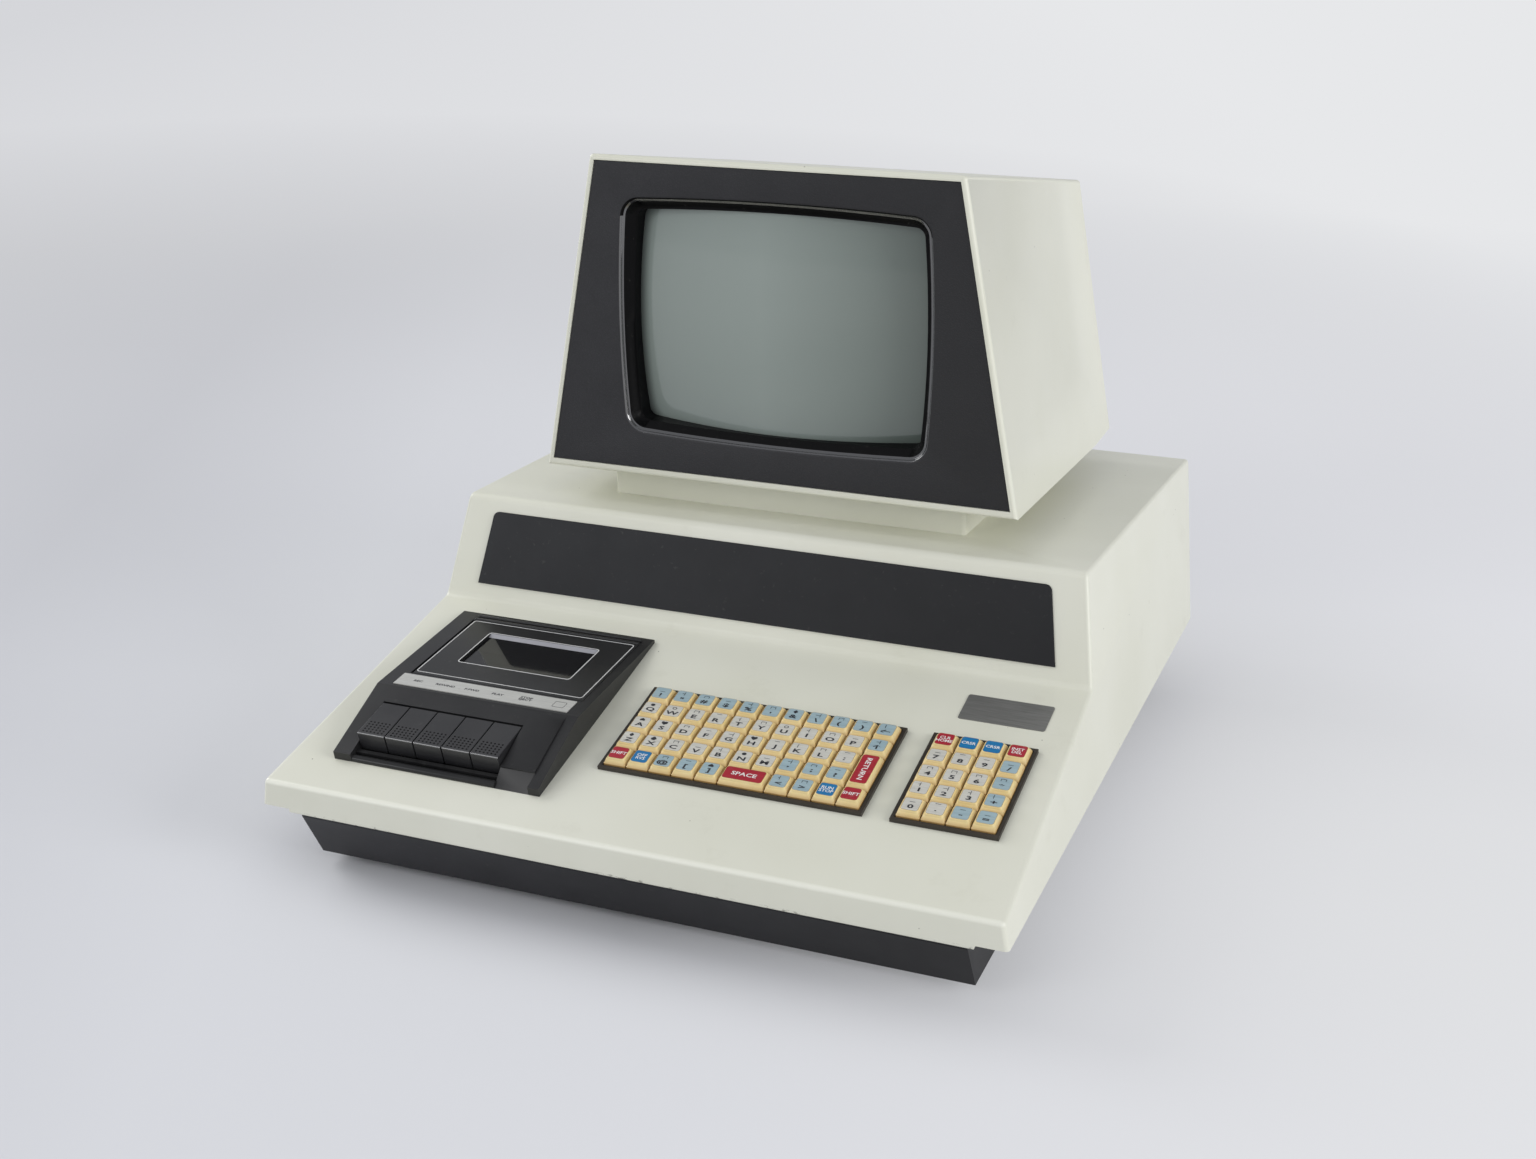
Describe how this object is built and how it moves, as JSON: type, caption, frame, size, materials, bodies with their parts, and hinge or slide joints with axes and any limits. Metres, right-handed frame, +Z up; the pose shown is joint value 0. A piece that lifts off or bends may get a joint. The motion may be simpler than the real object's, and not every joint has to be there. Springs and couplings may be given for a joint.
{
  "type": "home computer",
  "caption": "All-in-one home computer: wedge housing with keyboard, keypad and tape deck, a trapezoid monitor on a pedestal, and a base pan it hinges open on.",
  "frame": {"origin": "centre of the footprint, on the surface that the rubber feet stand on", "axes": "+X to the user's right, +Y from the user to the rear, +Z up"},
  "size_m": [0.419, 0.4686, 0.3586],
  "materials": {
    "cream_paint": "satin paint over sheet steel",
    "charcoal_paint": "fine textured charcoal paint",
    "rubber": "matte",
    "circuit_board": "glass fibre board with solder mask",
    "chip_plastic": "moulded epoxy packages",
    "laminations": "varnished laminated core and wound coil",
    "can_sleeve": "shrunk sleeve over an aluminium can",
    "black_plastic": "moulded, slightly glossy",
    "zinc_steel": "bright zinc plate",
    "panel_paint": "satin black",
    "label_foil": "brushed foil, bare",
    "bezel_plastic": "leather grained charcoal",
    "tube_glass": "grey green phosphor behind clear glass",
    "yoke": "wound copper on a moulded former",
    "flyback": "potted winding on a ferrite core",
    "surround_plastic": "moulded dark brown",
    "silver_keys": "cream moulding with silver top plates",
    "function_keys": "cream moulding with coloured top plates",
    "tape_plastic": "moulded black, slightly glossy",
    "smoked_window": "smoked clear plastic",
    "silver_foil": "brushed foil strip",
    "tape_key_plastic": "moulded black with dotted grip",
    "steel": "ground",
    "brass": "turned",
    "belt_rubber": "moulded belt",
    "white_plastic": "moulded acetal",
    "head_metal": "polished head on a plated slide"
  },
  "bodies": {
    "base": {"base_pan": "charcoal_paint", "rubber_feet": "rubber", "main_board": "circuit_board", "logic_chips": "chip_plastic", "transformer": "laminations", "smoothing_capacitor": "can_sleeve", "power_switch": "black_plastic", "mains_gland": "black_plastic", "fuse_holder": "black_plastic", "base_hinges": "zinc_steel"},
    "housing": {"top_housing": "cream_paint", "housing_hinges": "zinc_steel", "name_panel": "panel_paint", "deck_label": "label_foil", "monitor_pedestal": "cream_paint", "monitor_shell": "cream_paint", "monitor_back": "charcoal_paint", "monitor_bezel": "bezel_plastic", "picture_tube": "tube_glass", "tube_band": "zinc_steel", "deflection_yoke": "yoke", "monitor_board": "circuit_board", "flyback_transformer": "flyback", "case_screws": "zinc_steel", "keyboard_surround": "surround_plastic", "keypad_surround": "surround_plastic", "keyboard_board": "circuit_board", "tape_housing": "tape_plastic", "tape_label_strip": "silver_foil", "tape_key_axle": "steel", "tape_chassis": "zinc_steel", "tape_motor": "steel", "drive_belt": "belt_rubber"},
    "prop": {"prop_rod": "zinc_steel"},
    "rocker": {"switch_rocker": "black_plastic"},
    "knob": {"brightness_knob": "black_plastic"},
    "door": {"tape_door": "tape_plastic", "tape_window": "smoked_window"},
    "flywheel": {"flywheel": "steel"},
    "pulley": {"motor_pulley": "brass"},
    "supply_hub": {"supply_spindle": "white_plastic"},
    "takeup_hub": {"takeup_spindle": "white_plastic"},
    "head": {"tape_head": "head_metal"},
    "roller": {"pinch_roller": "rubber"},
    "key_row_1": {"key_row_1": "function_keys"},
    "key_row_2": {"key_row_2": "silver_keys"},
    "key_row_3": {"key_row_3": "silver_keys"},
    "key_row_4": {"key_row_4": "silver_keys"},
    "key_row_5": {"key_row_5": "function_keys"},
    "space_key": {"space_key": "function_keys"},
    "return_key": {"return_key": "function_keys"},
    "keypad_column_1": {"keypad_column_1": "silver_keys"},
    "keypad_column_2": {"keypad_column_2": "silver_keys"},
    "keypad_column_3": {"keypad_column_3": "silver_keys"},
    "keypad_column_4": {"keypad_column_4": "function_keys"},
    "record_key": {"record_key": "tape_key_plastic"},
    "rewind_key": {"rewind_key": "tape_key_plastic"},
    "forward_key": {"forward_key": "tape_key_plastic"},
    "play_key": {"play_key": "tape_key_plastic"},
    "stop_key": {"stop_key": "tape_key_plastic"}
  },
  "joints": [
    {"name": "housing_hinge", "type": "hinge", "parent": "base", "child": "housing", "pos_m": [0, 0.18773, 0.0375], "axis": [-1, 0, 0], "range_deg": [0, 40]},
    {"name": "prop_pivot", "type": "hinge", "parent": "base", "child": "prop", "pos_m": [-0.181, 0.06003, 0.028], "axis": [-1, 0, 0], "range_deg": [0, 64.3]},
    {"name": "rocker_tilt", "type": "hinge", "parent": "base", "child": "rocker", "pos_m": [0.139, 0.17073, 0.023], "axis": [1, 0, 0], "range_deg": [0, 12]},
    {"name": "knob_turn", "type": "hinge", "parent": "housing", "child": "knob", "pos_m": [0.062, 0.21444, 0.18442], "axis": [0, 0.997, -0.0776], "range_deg": [-135, 135]},
    {"name": "door_lid", "type": "hinge", "parent": "housing", "child": "door", "pos_m": [-0.11265, -0.0718, 0.09071], "axis": [-1, 0, 0], "range_deg": [0, 55]},
    {"name": "flywheel_spin", "type": "hinge", "parent": "housing", "child": "flywheel", "pos_m": [-0.09765, -0.12441, 0.04575], "axis": [0, -0.0551, 0.9985], "continuous": true},
    {"name": "pulley_spin", "type": "hinge", "parent": "housing", "child": "pulley", "pos_m": [-0.15065, -0.12441, 0.04575], "axis": [0, -0.0551, 0.9985], "continuous": true},
    {"name": "supply_spin", "type": "hinge", "parent": "housing", "child": "supply_hub", "pos_m": [-0.1339, -0.10152, 0.06654], "axis": [0, -0.0551, 0.9985], "continuous": true},
    {"name": "takeup_spin", "type": "hinge", "parent": "housing", "child": "takeup_hub", "pos_m": [-0.0914, -0.10152, 0.06654], "axis": [0, -0.0551, 0.9985], "continuous": true},
    {"name": "head_slide", "type": "slide", "parent": "housing", "child": "head", "axis": [0, 0.9985, 0.0551], "range_m": [0, 0.004]},
    {"name": "roller_spin", "type": "hinge", "parent": "head", "child": "roller", "pos_m": [-0.09765, -0.13626, 0.06462], "axis": [0, -0.0551, 0.9985], "continuous": true},
    {"name": "key_row_1_press", "type": "slide", "parent": "housing", "child": "key_row_1", "axis": [0, 0.1936, -0.9811], "range_m": [0, 0.0022], "stiffness_N_per_m": 400, "springref_m": -0.0015},
    {"name": "key_row_2_press", "type": "slide", "parent": "housing", "child": "key_row_2", "axis": [0, 0.1936, -0.9811], "range_m": [0, 0.0022], "stiffness_N_per_m": 400, "springref_m": -0.0015},
    {"name": "key_row_3_press", "type": "slide", "parent": "housing", "child": "key_row_3", "axis": [0, 0.1936, -0.9811], "range_m": [0, 0.0022], "stiffness_N_per_m": 400, "springref_m": -0.0015},
    {"name": "key_row_4_press", "type": "slide", "parent": "housing", "child": "key_row_4", "axis": [0, 0.1936, -0.9811], "range_m": [0, 0.0022], "stiffness_N_per_m": 400, "springref_m": -0.0015},
    {"name": "key_row_5_press", "type": "slide", "parent": "housing", "child": "key_row_5", "axis": [0, 0.1936, -0.9811], "range_m": [0, 0.0022], "stiffness_N_per_m": 400, "springref_m": -0.0015},
    {"name": "space_key_press", "type": "slide", "parent": "housing", "child": "space_key", "axis": [0, 0.1936, -0.9811], "range_m": [0, 0.0022], "stiffness_N_per_m": 400, "springref_m": -0.0015},
    {"name": "return_key_press", "type": "slide", "parent": "housing", "child": "return_key", "axis": [0, 0.1936, -0.9811], "range_m": [0, 0.0022], "stiffness_N_per_m": 400, "springref_m": -0.0015},
    {"name": "keypad_column_1_press", "type": "slide", "parent": "housing", "child": "keypad_column_1", "axis": [0, 0.1936, -0.9811], "range_m": [0, 0.0022], "stiffness_N_per_m": 400, "springref_m": -0.0015},
    {"name": "keypad_column_2_press", "type": "slide", "parent": "housing", "child": "keypad_column_2", "axis": [0, 0.1936, -0.9811], "range_m": [0, 0.0022], "stiffness_N_per_m": 400, "springref_m": -0.0015},
    {"name": "keypad_column_3_press", "type": "slide", "parent": "housing", "child": "keypad_column_3", "axis": [0, 0.1936, -0.9811], "range_m": [0, 0.0022], "stiffness_N_per_m": 400, "springref_m": -0.0015},
    {"name": "keypad_column_4_press", "type": "slide", "parent": "housing", "child": "keypad_column_4", "axis": [0, 0.1936, -0.9811], "range_m": [0, 0.0022], "stiffness_N_per_m": 400, "springref_m": -0.0015},
    {"name": "record_key_press", "type": "hinge", "parent": "housing", "child": "record_key", "pos_m": [-0.11265, -0.16333, 0.07457], "axis": [1, 0, 0], "range_deg": [0, 8], "stiffness_Nm_per_rad": 0.4, "springref_deg": -3.44},
    {"name": "rewind_key_press", "type": "hinge", "parent": "housing", "child": "rewind_key", "pos_m": [-0.11265, -0.16333, 0.07457], "axis": [1, 0, 0], "range_deg": [0, 8], "stiffness_Nm_per_rad": 0.4, "springref_deg": -3.44},
    {"name": "forward_key_press", "type": "hinge", "parent": "housing", "child": "forward_key", "pos_m": [-0.11265, -0.16333, 0.07457], "axis": [1, 0, 0], "range_deg": [0, 8], "stiffness_Nm_per_rad": 0.4, "springref_deg": -3.44},
    {"name": "play_key_press", "type": "hinge", "parent": "housing", "child": "play_key", "pos_m": [-0.11265, -0.16333, 0.07457], "axis": [1, 0, 0], "range_deg": [0, 8], "stiffness_Nm_per_rad": 0.4, "springref_deg": -3.44},
    {"name": "stop_key_press", "type": "hinge", "parent": "housing", "child": "stop_key", "pos_m": [-0.11265, -0.16333, 0.07457], "axis": [1, 0, 0], "range_deg": [0, 8], "stiffness_Nm_per_rad": 0.4, "springref_deg": -3.44}
  ],
  "couplings": [
    {"joint": "prop_pivot", "follows": "housing_hinge", "ratio": 1.6074},
    {"joint": "pulley_spin", "follows": "flywheel_spin", "ratio": 3.6},
    {"joint": "head_slide", "follows": "play_key_press", "m_per_rad": 0.028647}
  ]
}
